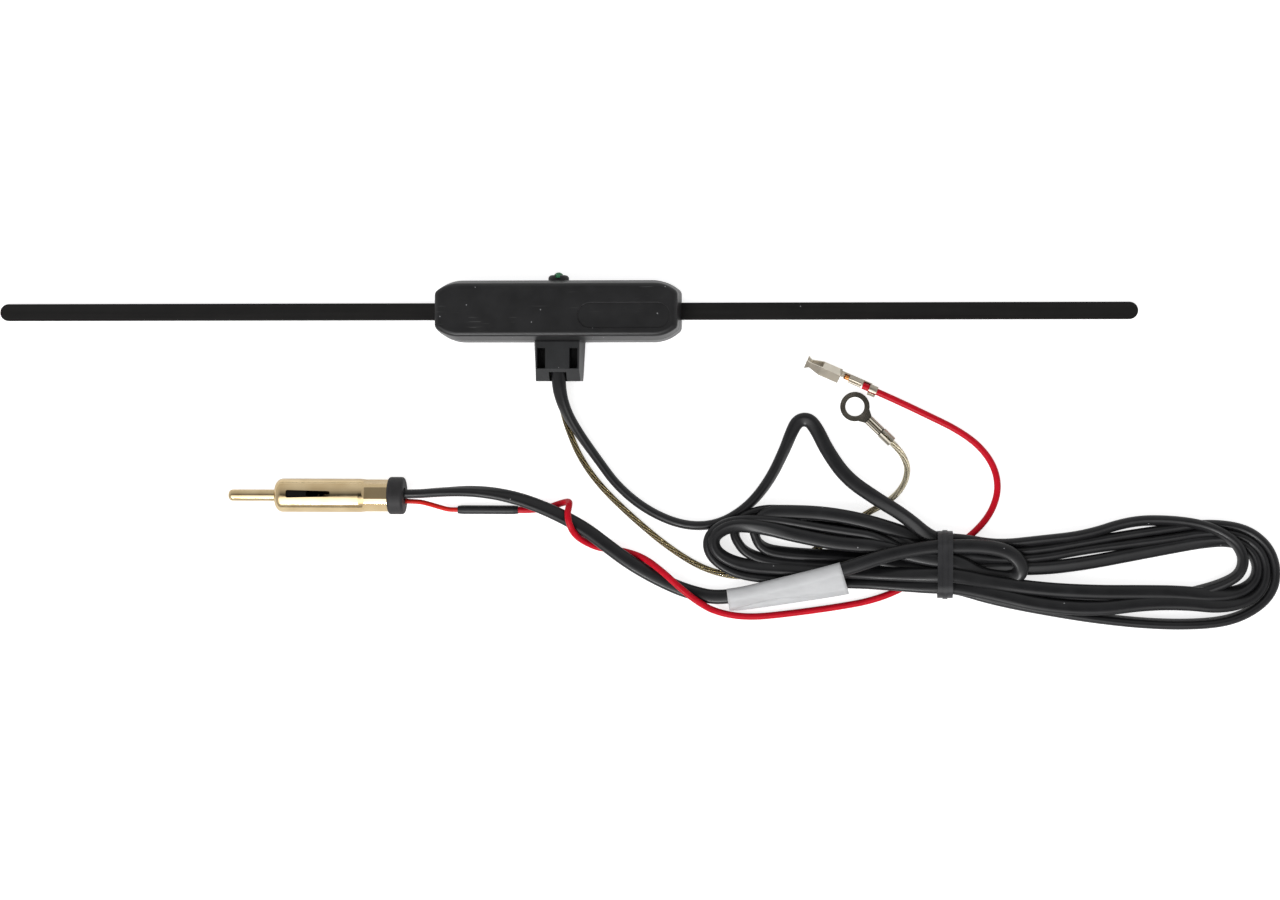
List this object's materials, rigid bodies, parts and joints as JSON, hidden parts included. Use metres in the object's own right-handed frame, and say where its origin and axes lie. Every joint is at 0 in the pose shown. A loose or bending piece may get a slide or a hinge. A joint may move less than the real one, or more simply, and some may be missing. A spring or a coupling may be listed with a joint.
{
  "type": "glass-mount car antenna",
  "caption": "Amplified stick-on windscreen antenna: flat black housing with strip arms, tied lead with antenna plug, supply wire with box contact and ground wire with ring terminal.",
  "frame": {"origin": "centre of the housing's adhesive face", "axes": "+X along the right arm, +Y towards the lamp, +Z away from the glass"},
  "size_m": [0.3445, 0.0942, 0.0122],
  "materials": {
    "housing_plastic": "satin charcoal moulding",
    "arm_plastic": "near-black strip",
    "foam_tape": "dense foam tape",
    "spring_bronze": "rolled spring strip",
    "board_laminate": "coated laminate",
    "package_black": "moulded package",
    "ferrite": "ferrite drum with winding",
    "capacitor_can": "drawn can",
    "lamp_green": "tinted clear resin",
    "holder_plastic": "black moulding",
    "pin_brass": "plated turned pin",
    "insulator_plastic": "black moulding",
    "plug_nickel": "nickel plate with a warm tint",
    "bush_rubber": "moulded rubber",
    "sleeve_black": "shrunk tube",
    "tinned_metal": "tin-plated sheet",
    "tie_nylon": "flat coated tie",
    "label_paper": "plain film label",
    "lead_jacket": "soft vinyl",
    "red_jacket": "red vinyl",
    "clear_jacket": "clear vinyl over copper strands"
  },
  "bodies": {
    "root": {"housing_base": "housing_plastic", "housing_cover": "housing_plastic", "housing_pad": "foam_tape", "cable_clamp": "housing_plastic", "left_arm": "arm_plastic", "right_arm": "arm_plastic", "left_arm_tape": "foam_tape", "right_arm_tape": "foam_tape", "left_arm_contact": "spring_bronze", "right_arm_contact": "spring_bronze", "circuit_board": "board_laminate", "amplifier_transistor": "package_black", "matching_coil": "ferrite", "capacitors": "capacitor_can", "resistors": "package_black", "lamp": "lamp_green", "lamp_holder": "holder_plastic", "plug_pin": "pin_brass", "plug_insulator": "insulator_plastic", "plug_shell": "plug_nickel", "plug_end_bush": "bush_rubber", "splice_sleeve": "sleeve_black", "ring_terminal": "tinned_metal", "box_contact": "tinned_metal", "cable_tie": "tie_nylon", "flag_label": "label_paper", "lead_hank": "lead_jacket", "lead_housing_run": "lead_jacket", "lead_plug_run": "lead_jacket", "red_supply_wire": "red_jacket", "red_plug_wire": "red_jacket", "ground_wire": "clear_jacket"}
  },
  "joints": []
}
